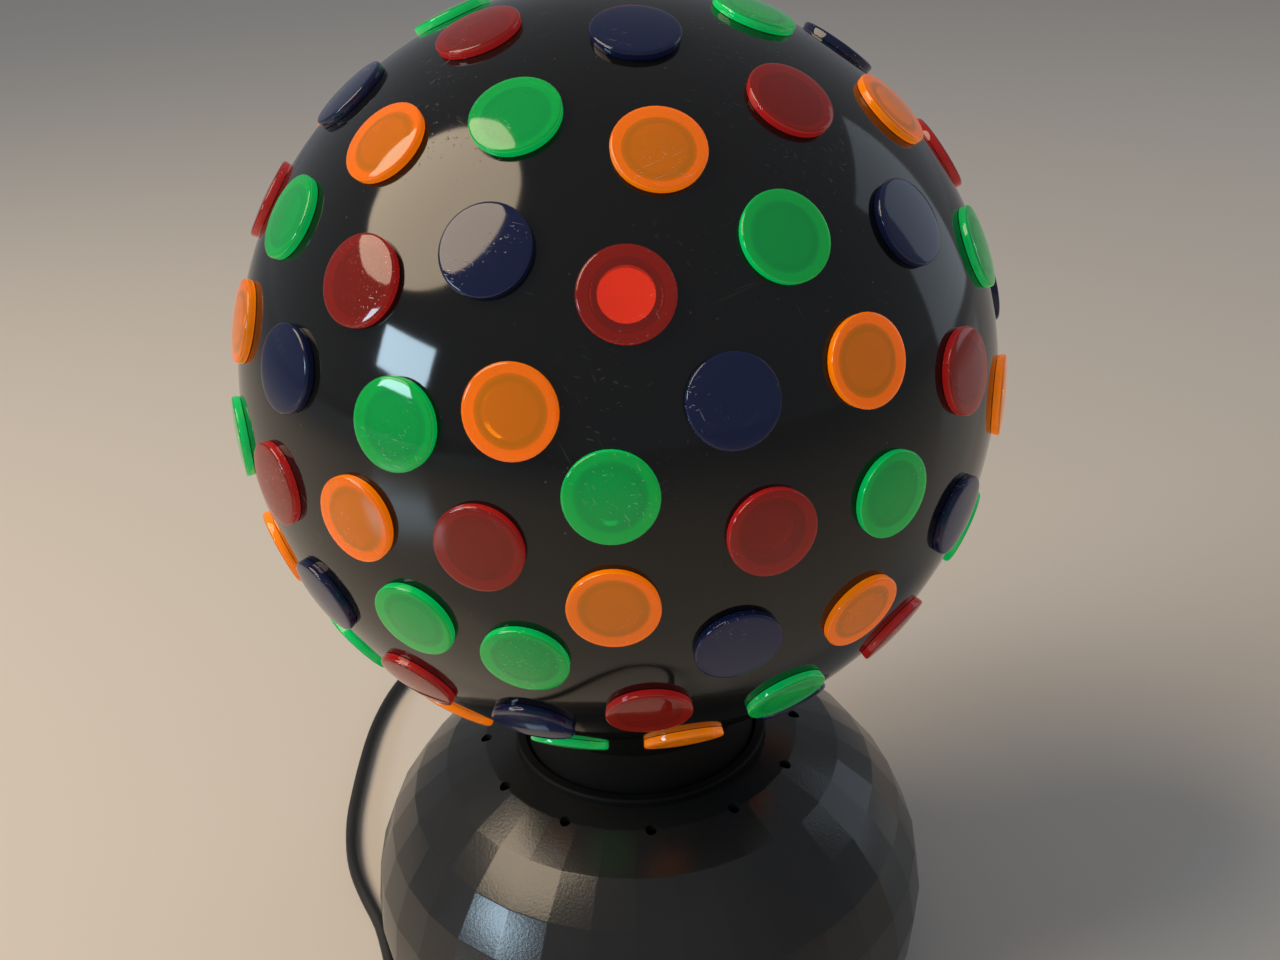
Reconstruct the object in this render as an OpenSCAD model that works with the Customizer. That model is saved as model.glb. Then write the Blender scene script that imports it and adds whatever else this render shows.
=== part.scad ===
// Rotating party lamp: a globe full of coloured lenses turns on a faceted stand.
// Millimetres, +Z up, origin on the standing surface under the spin axis.

/* [Globe] */
// Outer diameter of the globe
globe_d = 300; // [270:2:340]
// Wall thickness of the globe
globe_wall = 2.5; // [2:0.1:3.5]
// Diameter of the opening under the globe
globe_mouth_d = 96; // [92:1:104]
// Angle of the globe about its spin axis at rest
globe_turn = -20; // [-180:1:180]

/* [Lenses] */
// Diameter of a lens over its rim
lens_d = 31; // [27:0.5:33]
// Height of a lens's rim over the globe
lens_h = 2.5; // [2:0.1:4]
// Rise of a lens's crown over its rim
lens_crown = 1; // [0.6:0.1:1.6]
// Radius of the lens's rounded top edge
lens_edge = 1; // [0.5:0.1:1.4]
// How far a lens's side leans in towards the globe
lens_lean = 0.3; // [0:0.1:1]
// Diameter of the plug behind a lens
lens_plug_d = 21.6; // [17:0.1:23]
// Wall of the lens's hollow plug
lens_plug_wall = 1.9; // [1:0.1:2.4]
// Thickness of the lens over its hollow
lens_skin = 2.6; // [2:0.1:3]
// How far a plug reaches past the globe's inner face
lens_plug_past = 1.2; // [0.5:0.1:3]

/* [Base] */
// Number of facets round the base
facet_count = 36; // [24:12:48]
// Radius of the circle on which the base's rounded section is centred
base_mid_r = 44; // [42:0.2:46]
// Radius of the base's rounded section
base_sec_r = 87; // [84:0.5:89]
// Wall thickness of the base shell
base_wall = 3; // [2.5:0.1:4]
// Number of vent holes in the deck's edge
vent_count = 12; // [6:6:24]
// Diameter of a vent hole
vent_d = 5.2; // [3:0.1:6]
// Distance of the vent holes' centres inside the deck's edge
vent_in = 0.2; // [-1:0.1:1]
// Thickness of the base plate
plate_t = 3; // [2:0.1:4]
// Height of the rubber feet
foot_h = 4; // [3.5:0.1:8]
// Diameter of a rubber foot
foot_d = 18; // [12:1:24]
// Number of rubber feet
foot_count = 4; // [3, 4, 6]
// Radius on which the feet stand
foot_ring_r = 88; // [80:1:90]

/* [Neck] */
// Clear height between the deck and the globe
neck_rise = 29.5; // [27:0.1:40]
// Height of the neck ring over the deck
neck_ring_h = 3.6; // [3:0.1:6]
// Wall of the neck ring
neck_ring_wall = 4.4; // [3:0.1:5]
// Radius of the neck ring's rounded top edge
neck_ring_edge = 1.2; // [0.5:0.1:1.6]
// Clear gap between the turning tube and the neck ring
neck_gap = 1.6; // [1.2:0.1:3]
// Wall of the turntable's tube
tube_wall = 3; // [2:0.1:4]
// How far the saddle reaches out past the tube
saddle_out = 10; // [9:0.5:12]

/* [Drive] */
// Gear module
gear_module = 1.5; // [1.4:0.05:1.6]
// Teeth on the turntable
gear_teeth = 64; // [60:1:66]
// Teeth on the pinion
pinion_teeth = 16; // [14:1:18]
// Width of the gear teeth
gear_w = 8; // [6:0.5:10]
// Diameter of the motor
motor_d = 50; // [44:1:54]
// Depth of the motor
motor_h = 22; // [18:1:26]
// Diameter of the motor's shaft
motor_shaft_d = 5; // [4:0.5:6]

/* [Stem and lamp] */
// Outer diameter of the hollow stem
stem_d = 13; // [12:0.5:14]
// Bore of the stem
stem_bore = 9; // [7:0.5:10]
// Wall of the bronze bush
bush_wall = 2; // [1.5:0.1:3]
// Outer diameter of the turntable's hub
hub_d = 28; // [25:0.5:32]
// Length of the turntable's hub
hub_h = 30; // [24:1:36]
// Height of the chassis pillars
pillar_h = 60; // [50:1:62]
// Diameter of the lamp holder's skirt
holder_d = 40; // [38:0.5:46]
// Height of the lamp holder
holder_h = 52; // [48:1:58]
// Diameter of the bulb's glass
bulb_d = 60; // [55:1:70]
// Length of the bulb's glass over the lamp holder
bulb_len = 82; // [76:1:95]

/* [Cord] */
// Diameter of the mains cord
cord_d = 6.5; // [6:0.1:7]
// Length of the strain relief outside the shell
relief_len = 32; // [24:1:40]

/* [Hidden] */
$fn = 64;
// Fits
seat_gap = 0.1;
loose_gap = 0.3;
run_gap = 0.05;
screw_gap = 0.05;
hole_gap = 0.3;
cut_past = 1;
// Base: rings of facet corners stand at even angles on the section's circle
row_step = 14;
row_count = 7;
top_angle = 71;
low_angle = top_angle - row_count * row_step;
base_mid_z = foot_h - base_sec_r * sin(low_angle);
deck_z = base_mid_z + base_sec_r * sin(top_angle);
deck_r = base_mid_r + base_sec_r * cos(top_angle);
facet_half = 180 / facet_count;
plate_top = foot_h + plate_t;
rim_in_r = base_mid_r + (base_sec_r - base_wall) * cos(low_angle);
plate_r = rim_in_r * cos(facet_half) - loose_gap;
vent_r = deck_r * cos(facet_half) - vent_in;
foot_turn = 15;
// Screws
screw_d = 3.4;
screw_head_d = 6.4;
screw_head_h = 2.2;
screw_chamfer = 1;
thread_bore_d = screw_d + 2 * screw_gap;
clear_bore_d = screw_d + 2 * hole_gap;
boss_d = 9;
boss_count = 6;
boss_h = 32;
boss_r = plate_r - boss_d;
boss_turn = 30;
rib_t = 2.4;
boss_screw_len = 16;
blind_gap = 1;
// Globe and neck
globe_r = globe_d / 2;
globe_z = deck_z + neck_rise + globe_r;
mouth_r = globe_mouth_d / 2;
mouth_step = 1;
tube_in_r = mouth_r + mouth_step;
tube_r = tube_in_r + tube_wall;
saddle_r = tube_r + saddle_out;
neck_in_r = tube_r + neck_gap;
neck_r = neck_in_r + neck_ring_wall;
neck_spigot_wall = 1.3;
neck_spigot_r = neck_in_r + neck_spigot_wall;
neck_spigot_h = base_wall + 3;
clamp_t = 3;
clamp_lip = 6;
clamp_in_r = mouth_r - clamp_lip;
clamp_screw_r = (tube_r + saddle_r) / 2 - 1;
clamp_r = clamp_screw_r + screw_head_d / 2 + 1.8;
clamp_screw_count = 4;
clamp_screw_grip = 7;
clamp_turn = 45;
flare_h = 20;
saddle_t = 2;
// Lenses: rings 18 degrees apart round a level pole, the same on both halves
ring_step = 18;
ring_counts = [1, 7, 12, 16, 16, 16];
ring_starts = [0, 15, 0, 0, 11.25, 0];
lens_r = lens_d / 2;
plug_r = lens_plug_d / 2;
keep_out_gap = 0.5;
neck_keep_out = asin(saddle_r / globe_r) + asin(lens_r / globe_r) + keep_out_gap;
// Stack on the stem, from the chassis up
chassis_z = plate_top + pillar_h;
chassis_t = 3;
chassis_top = chassis_z + chassis_t;
chassis_r = 92;
nut_h = 4;
nut_flats = stem_d + 6;
washer_t = 1.5;
hub_z = chassis_top + nut_h + washer_t + seat_gap;
hub_top = hub_z + hub_h;
bush_r = stem_d / 2 + run_gap + bush_wall;
stem_top_in = 7;
lamp_below = 90;
lamp_z = globe_z - lamp_below;
stem_below = 4;
stem_z = chassis_z - nut_h - stem_below;
stem_h = lamp_z + stem_top_in - stem_z;
// Gears
gear_r = gear_module * gear_teeth / 2;
pinion_r = gear_module * pinion_teeth / 2;
gear_dedendum = 1.25;
gear_pressure = 20;
gear_root_r = gear_r - gear_dedendum * gear_module;
shaft_x = gear_r + pinion_r;
gear_rise = 2;
gear_z = hub_z + gear_rise;
gear_play = 0.24;
rim_t = 3.5;
web_t = 3.5;
rim_r = gear_root_r - rim_t;
funnel_z = gear_z + gear_w + 1.5;
funnel_h = 8;
funnel_lap = 1;
web_hole_count = 6;
web_hole_r = 8;
// Pillars and motor
pillar_count = 4;
pillar_r = 4;
pillar_ring_r = 70;
pillar_turn = 45;
motor_ear_out = 6;
motor_ear_r = motor_d / 2 + motor_ear_out;
motor_screw_grip = 6;
shaft_hole_gap = 3;
// Cooling holes in the chassis, clear of the motor
cool_angles = [100, 140, 220, 260];
cool_ring_r = 48;
cool_r = 12;
// Lamp holder and bulb
cap_r = 13.1;
cap_h = 25;
sleeve_t = 0.6;
socket_floor = 11;
// Strain relief, square to the facet beside the front one
relief_turn = 360 / facet_count;
relief_row = 5;
relief_flange_t = 2;
relief_flange_r = 8;
relief_neck_r = 5.5;
relief_in_len = 8;
relief_tip_wall = 1;
lead_straight = 14;
cord_straight = 9;
// Terminal block and the place where the inner lead meets it
terminal_x = -42;
terminal_poles = 3;
terminal_pitch = 10;
terminal_depth = 16;
terminal_h = 14;
terminal_step = 5;
terminal_wire_z = 4.5;
terminal_wire_d = 4.6;
terminal_screw_d = 3.4;
terminal_wall = 1.5;
terminal_y = -terminal_pitch * (terminal_poles - 1) / 2;
lead_z = plate_top + terminal_wire_z;
// Coil, tie and plug lie on the standing surface
cord_r = cord_d / 2;
coil_x = -20;
coil_y = 250;
coil_r = 36;
coil_wide = 2;
coil_layers = 3;
tie_w = 8;
tie_t = 1.6;
plug_x = coil_x + coil_r + cord_d / 2;
plug_y = 214;
plug_t = 13.6;
plug_w = 32;
plug_len = 34;
plug_pin_d = 4;
plug_pin_len = 19;
plug_pin_gap = 18.6;
// Points of the cord's route after the strain relief: place on the surface and lift over it
floor_gap = 0.05;
route_floor = [[31, -182, 19], [29, -197, 12], [22, -210, 6], [10, -219, 2], [-5, -221, 0], [-20, -218, 0],
    [-33, -209, 0], [-45, -198, 0], [-55, -185, 0], [-64, -170, 0], [-73, -153, 0], [-81, -135, 0],
    [-90, -116, 0], [-101, -95, 0], [-111, -74, 0], [-119, -54, 0], [-126, -33, 0], [-131, -12, 0],
    [-138, 12, 0], [-147, 32, 0],
    [-155, 52, 0], [-160, 72, 0], [-163, 98, 0], [-163, 124, 0], [-162, 150, 0], [-160, 176, 0],
    [-156, 200, 0], [-150, 222, 0], [-141, 243, 0], [-127, 262, 0], [-108, 276, 0], [-86, 284, 0],
    [-62, 288, 0], [-42, 289, 0], [-24, 289, 0]];
// Points of the inner lead from the strain relief down to the first terminal
lead_points = [[12, -86, lead_z + 20], [2, -70, lead_z + 12], [-6, -54, lead_z + 5], [-10, -38, lead_z + 1],
    [-13, -24, lead_z], [-20, -14, lead_z], [terminal_x + lead_straight, terminal_y, lead_z],
    [terminal_x + lead_straight / 2, terminal_y, lead_z], [terminal_x, terminal_y, lead_z]];

// Point on the rounded section at angle a, pulled in by inset
function section(a, inset = 0) = [base_mid_r + (base_sec_r - inset) * cos(a),
    base_mid_z + (base_sec_r - inset) * sin(a)];
function base_rings(inset = 0) = [for (k = [row_count:-1:0]) section(top_angle - k * row_step, inset)];
// Depth of a sphere's surface under its top at radius r
function drop(r, ball = globe_r) = ball - sqrt(ball * ball - r * r);
// Height of the globe's underside at radius r, on a sphere grown by grow
function under(r, grow = 0) = globe_z - sqrt(pow(globe_r + grow, 2) - r * r);
function arc(cx, cy, r, a0, a1, n) = [for (i = [0:n]) let (a = a0 + (a1 - a0) * i / n)
    [cx + r * cos(a), cy + r * sin(a)]];
// Tilt of a lens from straight down, used to leave the neck free
function off_bottom(rho, az) = acos(-sin(rho) * cos(az));
function lens_az(k, i) = ring_starts[k] + i * 360 / ring_counts[k];
function lens_color(k, i) = k == 0 ? "red"
    : k == 1 ? ((i == 0 || i == 2 || i == 5) ? "orange" : "green")
    : k == 3 ? (i % 2 == 0 ? "green" : "orange")
    : k == 5 ? (i % 2 == 0 ? "orange" : "green")
    : (i % 2 == 0 ? "blue" : "red");
// Smooth curve through points, with n steps between neighbours
function curve_at(p, i, t) = let (a = p[max(i - 1, 0)], b = p[i], c = p[i + 1],
        d = p[min(i + 2, len(p) - 1)])
    0.5 * (2 * b + (c - a) * t + (2 * a - 5 * b + 4 * c - d) * t * t
        + (3 * b - a - 3 * c + d) * t * t * t);
function curve(p, n) = concat([for (i = [0:len(p) - 2]) for (j = [0:n - 1]) curve_at(p, i, j / n)],
    [p[len(p) - 1]]);
function unit(v) = v / norm(v);
function heading(p, i) = unit(p[min(i + 1, len(p) - 1)] - p[max(i - 1, 0)]);
// Involute flank: half angle of a tooth at radius r
function roll_angle(a) = tan(a) * 180 / PI - a;
function tooth_half(n, r) = let (pitch = gear_module * n / 2, base = pitch * cos(gear_pressure))
    90 / n - gear_play / pitch * 45 / PI + roll_angle(gear_pressure) - roll_angle(acos(min(1, base / r)));
function tooth_radii(pitch) = let (root = pitch - gear_dedendum * gear_module)
    [root, max(root, pitch * cos(gear_pressure)) + 0.01, pitch, pitch + 0.55 * gear_module,
        pitch + gear_module];
function gear_points(n) = let (radii = tooth_radii(gear_module * n / 2))
    [for (i = [0:n - 1]) for (s = [-1, 1]) for (j = [0:4]) let (r = radii[s < 0 ? j : 4 - j],
        a = i * 360 / n + s * tooth_half(n, r)) [r * cos(a), r * sin(a)]];
// Foot and outward direction of the strain relief's axis, then its two ends
function relief_tilt() = top_angle - (relief_row + 0.5) * row_step;
function relief_foot() = let (a = section(top_angle - relief_row * row_step),
        b = section(top_angle - (relief_row + 1) * row_step))
    [(a[0] + b[0]) / 2 * cos(facet_half), (a[1] + b[1]) / 2];
function relief_way() = [sin(relief_turn) * cos(relief_tilt()), -cos(relief_turn) * cos(relief_tilt()),
    sin(relief_tilt())];
function relief_at(t) = let (q = relief_foot())
    [q[0] * sin(relief_turn), -q[0] * cos(relief_turn), q[1]] + t * relief_way();
function relief_in() = relief_at(-base_wall - relief_in_len);
function relief_out() = relief_at(relief_flange_t + relief_len);
// Route points set down with the cord's underside on the surface
function laid(p) = [for (q = p) q + [0, 0, cord_r + floor_gap]];

// Solid of stacked facet rings, each [radius, height], lowest first
module ring_stack(rings) {
    n = facet_count;
    m = len(rings);
    points = [for (q = rings) for (i = [0:n - 1]) let (a = (i + 0.5) * 360 / n)
        [q[0] * sin(a), -q[0] * cos(a), q[1]]];
    sides = [for (k = [0:m - 2]) for (i = [0:n - 1]) let (j = (i + 1) % n)
        [k * n + i, (k + 1) * n + i, (k + 1) * n + j, k * n + j]];
    ends = [[for (i = [0:n - 1]) i], [for (i = [n - 1:-1:0]) (m - 1) * n + i]];
    polyhedron(points, concat(ends, sides));
}

// Round tube along points, closed at both ends
module tube_along(p, r, n = 10) {
    m = len(p);
    points = [for (i = [0:m - 1])
        let (h = heading(p, i), u = unit(cross(h, [0.02, 0.01, 1])), v = cross(h, u))
        for (j = [0:n - 1]) p[i] + r * (cos(j * 360 / n) * u + sin(j * 360 / n) * v)];
    sides = [for (i = [0:m - 2]) for (j = [0:n - 1]) let (k = (j + 1) % n)
        [i * n + j, i * n + k, (i + 1) * n + k, (i + 1) * n + j]];
    ends = [[for (j = [n - 1:-1:0]) j], [for (j = [0:n - 1]) (m - 1) * n + j]];
    polyhedron(points, concat(ends, sides));
}

module around(count, r, turn = 0) {
    for (i = [0:count - 1]) rotate([0, 0, turn + i * 360 / count]) translate([0, -r, 0]) children();
}

// Screw with its head below zero and its shank upwards
module screw(grip) {
    c = screw_chamfer;
    head_r = screw_head_d / 2;
    shank_r = screw_d / 2;
    rotate_extrude($fn = 24) polygon([[0, -screw_head_h], [head_r - c, -screw_head_h],
        [head_r, c - screw_head_h], [head_r, 0], [shank_r, 0], [shank_r, grip - c], [shank_r - c, grip],
        [0, grip]]);
}

// Plain bore through a plate of thickness t that starts at zero
module bore(d, t) {
    translate([0, 0, -cut_past]) cylinder(d = d, h = t + 2 * cut_past, $fn = 24);
}

module hex_nut(h, flats, bore) {
    difference() {
        cylinder(d = flats / cos(30), h = h, $fn = 6);
        translate([0, 0, -cut_past]) cylinder(d = bore, h = h + 2 * cut_past);
    }
}

// Puts children on the relief's facet with +Z out of the shell
module at_relief() {
    foot = relief_foot();
    rotate([0, 0, relief_turn]) translate([0, -foot[0], foot[1]])
        rotate([90 - relief_tilt(), 0, 0]) children();
}

module bosses() {
    around(boss_count, boss_r, boss_turn) {
        translate([0, 0, plate_top]) cylinder(d = boss_d, h = boss_h);
        translate([-rib_t / 2, -base_sec_r, plate_top]) cube([rib_t, base_sec_r, boss_h]);
    }
}

module base_shell() {
    low = section(low_angle, base_wall);
    color("#17181a") difference() {
        union() {
            difference() {
                ring_stack(base_rings());
                ring_stack(concat([[low[0] + loose_gap, foot_h - cut_past]], base_rings(base_wall)));
            }
            intersection() {
                bosses();
                ring_stack(base_rings(base_wall / 2));
            }
        }
        translate([0, 0, deck_z - 2 * base_wall])
            cylinder(r = neck_spigot_r + seat_gap, h = 4 * base_wall, $fn = 96);
        around(vent_count, vent_r) translate([0, 0, deck_z - 4 * base_wall])
            cylinder(d = vent_d, h = 6 * base_wall, $fn = 24);
        around(boss_count, boss_r, boss_turn) translate([0, 0, foot_h])
            cylinder(d = thread_bore_d, h = plate_t + boss_screw_len, $fn = 24);
        at_relief() translate([0, 0, -3 * base_wall])
            cylinder(r = relief_neck_r + seat_gap, h = 4 * base_wall, $fn = 32);
    }
}

module neck_ring() {
    color("#121314") rotate_extrude($fn = 96) polygon(concat([[neck_in_r, deck_z - neck_spigot_h],
        [neck_spigot_r, deck_z - neck_spigot_h], [neck_spigot_r, deck_z], [neck_r, deck_z]],
        arc(neck_r - neck_ring_edge, deck_z + neck_ring_h - neck_ring_edge, neck_ring_edge, 0, 90, 4),
        [[neck_in_r, deck_z + neck_ring_h]]));
}

module base_plate() {
    slot_count = 8;
    slot_r = 60;
    slot_len = 22;
    slot_w = 4;
    color("#202123") difference() {
        translate([0, 0, foot_h]) cylinder(r = plate_r, h = plate_t, $fn = 96);
        translate([0, 0, foot_h]) {
            around(boss_count, boss_r, boss_turn) bore(clear_bore_d, plate_t);
            around(pillar_count, pillar_ring_r, pillar_turn) bore(clear_bore_d, plate_t);
        }
        around(slot_count, slot_r, 180 / slot_count) translate([0, 0, foot_h - cut_past])
            linear_extrude(plate_t + 2 * cut_past) {
                square([slot_len, slot_w], center = true);
                for (s = [-1, 1]) translate([s * slot_len / 2, 0]) circle(d = slot_w, $fn = 24);
            }
    }
}

module rubber_feet() {
    edge = 1.2;
    lean = 0.3;
    color("#0c0c0c") around(foot_count, foot_ring_r, foot_turn) rotate_extrude($fn = 48)
        polygon(concat([[0, 0]], arc(foot_d / 2 - edge - lean, edge, edge, -90, 0, 3),
            [[foot_d / 2, foot_h], [0, foot_h]]));
}

module base_screws() {
    color("silver") translate([0, 0, foot_h]) around(boss_count, boss_r, boss_turn)
        screw(plate_t + boss_screw_len - blind_gap);
}

module chassis_plate() {
    color("#9a9da0") translate([0, 0, chassis_z]) difference() {
        cylinder(r = chassis_r, h = chassis_t, $fn = 96);
        bore(stem_d + 2 * run_gap, chassis_t);
        around(pillar_count, pillar_ring_r, pillar_turn) bore(clear_bore_d, chassis_t);
        translate([shaft_x, 0, 0]) bore(motor_shaft_d + 2 * shaft_hole_gap, chassis_t);
        for (s = [-1, 1]) translate([shaft_x, s * motor_ear_r, 0]) bore(clear_bore_d, chassis_t);
        for (a = cool_angles) rotate([0, 0, a]) translate([cool_ring_r, 0, 0]) bore(2 * cool_r, chassis_t);
    }
}

module pillars() {
    bore_len = 12;
    color("#b8b8b4") around(pillar_count, pillar_ring_r, pillar_turn) difference() {
        translate([0, 0, plate_top]) cylinder(r = pillar_r, h = pillar_h, $fn = 6);
        for (z = [plate_top - cut_past, chassis_z - bore_len])
            translate([0, 0, z]) cylinder(d = thread_bore_d, h = bore_len + cut_past, $fn = 24);
    }
}

module pillar_screws() {
    grip = 8;
    color("silver") around(pillar_count, pillar_ring_r, pillar_turn) {
        translate([0, 0, foot_h]) screw(plate_t + grip);
        translate([0, 0, chassis_top]) rotate([180, 0, 0]) screw(chassis_t + grip);
    }
}

module stem() {
    color("#c9c9c4") translate([0, 0, stem_z]) difference() {
        cylinder(d = stem_d, h = stem_h);
        translate([0, 0, -cut_past]) cylinder(d = stem_bore, h = stem_h + 2 * cut_past);
    }
}

module stem_nuts() {
    color("#c2a24a") for (z = [chassis_z - nut_h, chassis_top, hub_top + loose_gap, lamp_z - nut_h])
        translate([0, 0, z]) hex_nut(nut_h, nut_flats, stem_d + 2 * screw_gap);
}

module thrust_washer() {
    color("#e8e4d8") translate([0, 0, chassis_top + nut_h]) difference() {
        cylinder(d = hub_d, h = washer_t);
        translate([0, 0, -cut_past]) cylinder(d = stem_d + 2 * run_gap, h = washer_t + 2 * cut_past);
    }
}

module lamp_holder() {
    neck_r = holder_d / 2 - 4;
    neck_edge = 3;
    skirt_low = 16;
    skirt_high = 20;
    groove_in = 1;
    groove_w = 2.5;
    groove_step = 6;
    groove_below = 10;
    bore_r = cap_r + loose_gap + sleeve_t + run_gap;
    color("#1c1a18") translate([0, 0, lamp_z]) difference() {
        rotate_extrude() polygon(concat([[0, 0]], arc(neck_r - neck_edge, neck_edge, neck_edge, -90, 0, 4),
            [[neck_r, skirt_low], [holder_d / 2, skirt_high], [holder_d / 2, holder_h], [0, holder_h]]));
        translate([0, 0, socket_floor]) cylinder(r = bore_r, h = holder_h);
        translate([0, 0, -cut_past]) cylinder(d = stem_d + 2 * run_gap, h = stem_top_in + cut_past);
        cylinder(d = stem_bore, h = holder_h);
        for (i = [0, 1]) translate([0, 0, holder_h - groove_below - i * groove_step]) rotate_extrude()
            translate([holder_d / 2 - groove_in, 0]) square([groove_in + cut_past, groove_w]);
    }
}

module thread_sleeve() {
    color("#c9a545") translate([0, 0, lamp_z + socket_floor]) difference() {
        cylinder(r = cap_r + loose_gap + sleeve_t, h = cap_h);
        translate([0, 0, sleeve_t]) cylinder(r = cap_r + loose_gap, h = cap_h);
    }
}

module bulb_cap() {
    tip_h = 4;
    tip_r = 4.5;
    thread_in = 0.9;
    thread_pitch = 3.6;
    threads = 5;
    color("#c0c0c0") translate([0, 0, lamp_z + socket_floor + sleeve_t]) rotate_extrude()
        polygon(concat([[0, 0], [tip_r, 0], [tip_r + 1.5, tip_h], [cap_r - thread_in, tip_h]],
            [for (i = [0:threads - 1]) for (s = [0, 1])
                [cap_r - thread_in * (1 - s), tip_h + (i + 0.5 + s / 2) * thread_pitch]],
            [[cap_r, cap_h], [0, cap_h]]));
}

module bulb_glass() {
    low = lamp_z + socket_floor + sleeve_t + cap_h;
    mid = lamp_z + holder_h + bulb_len - bulb_d / 2;
    waist = 35;
    color("#f2efe6", 0.6) rotate_extrude($fn = 96)
        polygon(concat([[0, low], [cap_r, low], [cap_r, lamp_z + holder_h]],
            arc(0, mid, bulb_d / 2, -90 + waist, 90, 14)));
}

module motor() {
    ear_r = 5;
    ear_t = 2;
    edge = 2;
    color("#8f9295") translate([shaft_x, 0, chassis_z - motor_h]) difference() {
        union() {
            rotate_extrude() polygon(concat([[0, 0]], arc(motor_d / 2 - edge, edge, edge, -90, 0, 4),
                [[motor_d / 2, motor_h], [0, motor_h]]));
            for (s = [-1, 1]) translate([0, s * motor_ear_r, motor_h - ear_t]) cylinder(r = ear_r, h = ear_t);
            translate([-ear_r, -motor_ear_r, motor_h - ear_t]) cube([2 * ear_r, 2 * motor_ear_r, ear_t]);
        }
        translate([0, 0, motor_h / 2]) cylinder(d = motor_shaft_d + 2 * run_gap, h = motor_h);
        for (s = [-1, 1]) translate([0, s * motor_ear_r, 0]) bore(thread_bore_d, motor_h);
    }
}

module motor_screws() {
    color("silver") for (s = [-1, 1]) translate([shaft_x, s * motor_ear_r, chassis_top])
        rotate([180, 0, 0]) screw(chassis_t + motor_screw_grip);
}

module motor_shaft() {
    color("#d0d0d0") translate([shaft_x, 0, chassis_z - motor_h / 2 + loose_gap])
        cylinder(d = motor_shaft_d, h = gear_z + gear_w - chassis_z + motor_h / 2 - loose_gap);
}

module pinion() {
    color("#e6e2d6") translate([shaft_x, 0, gear_z]) difference() {
        rotate([0, 0, 180 + 180 / pinion_teeth]) linear_extrude(gear_w)
            polygon(gear_points(pinion_teeth));
        translate([0, 0, -cut_past]) cylinder(d = motor_shaft_d + 2 * screw_gap, h = gear_w + 2 * cut_past);
    }
}

module terminal_block() {
    wide = terminal_poles * terminal_pitch;
    low_h = terminal_h - terminal_step;
    screw_in = 5;
    tower = [terminal_depth - 4, terminal_pitch - 2 * terminal_wall, terminal_h];
    color("#e9e6da") translate([terminal_x - terminal_depth, -wide / 2, plate_top]) difference() {
        union() {
            cube([terminal_depth, wide, low_h]);
            for (i = [0:terminal_poles - 1])
                translate([2, i * terminal_pitch + terminal_wall, 0]) cube(tower);
        }
        for (i = [0:terminal_poles - 1]) translate([0, (i + 0.5) * terminal_pitch, 0]) {
            translate([0, 0, terminal_wire_z]) rotate([0, 90, 0]) bore(terminal_wire_d, terminal_depth);
            for (x = [screw_in, terminal_depth - screw_in]) translate([x, 0, terminal_wire_z])
                cylinder(d = terminal_screw_d, h = terminal_h, $fn = 24);
        }
    }
}

module strain_relief() {
    tip_r = cord_r + relief_tip_wall;
    in_end = -base_wall - relief_in_len;
    in_face = -base_wall - seat_gap;
    in_flange_t = 2;
    in_flange_r = relief_flange_r - 1;
    out_end = relief_flange_t + relief_len;
    root_step = 0.8;
    color("#0f0f10") at_relief() rotate_extrude($fn = 48) polygon([[0, in_end], [tip_r, in_end],
        [relief_neck_r + root_step, in_face - in_flange_t], [in_flange_r, in_face - in_flange_t],
        [in_flange_r, in_face], [relief_neck_r, in_face], [relief_neck_r, seat_gap],
        [relief_flange_r, seat_gap], [relief_flange_r, relief_flange_t],
        [relief_neck_r + root_step, relief_flange_t + root_step], [tip_r, out_end], [0, out_end]]);
}

module inner_lead() {
    start = relief_in();
    route = concat([for (t = [0, 0.5, 1]) start - t * lead_straight * relief_way()], lead_points);
    color("#0d0d0d") tube_along(curve(route, 2), cord_r, 8);
}

module cord() {
    start = relief_out();
    route = concat([for (t = [0, 0.5, 1]) start + t * cord_straight * relief_way()], laid(route_floor));
    color("#0d0d0d") tube_along(curve(route, 2), cord_r);
}

module cord_coil() {
    w = coil_wide * cord_d;
    h = coil_layers * cord_d;
    c = cord_r;
    color("#111111") translate([coil_x, coil_y, 0]) rotate_extrude($fn = 96) translate([coil_r - w / 2, 0])
        polygon([[c, 0], [w - c, 0], [w, c], [w, h - c], [w - c, h], [c, h], [0, h - c], [0, c]]);
}

module cord_tie() {
    w = coil_wide * cord_d + 2 * tie_t;
    h = coil_layers * cord_d + tie_t;
    color("#2a2a2a") translate([coil_x - coil_r, coil_y, 0]) difference() {
        translate([-w / 2, -tie_w / 2, 0]) cube([w, tie_w, h]);
        translate([coil_r, 0, -cut_past]) rotate_extrude($fn = 96)
            translate([coil_r - w / 2 + tie_t - seat_gap, 0])
                square([w - 2 * tie_t + 2 * seat_gap, h - tie_t + cut_past + seat_gap]);
    }
}

module cord_tail() {
    low = cord_r + floor_gap;
    high = plug_t / 2;
    color("#0d0d0d") tube_along([for (t = [[coil_y - 4, 0], [coil_y - 12, 0.15], [plug_y + 14, 0.85],
        [plug_y + 6, 1], [plug_y, 1]]) [plug_x, t[0], low + t[1] * (high - low)]], cord_r);
}

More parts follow.
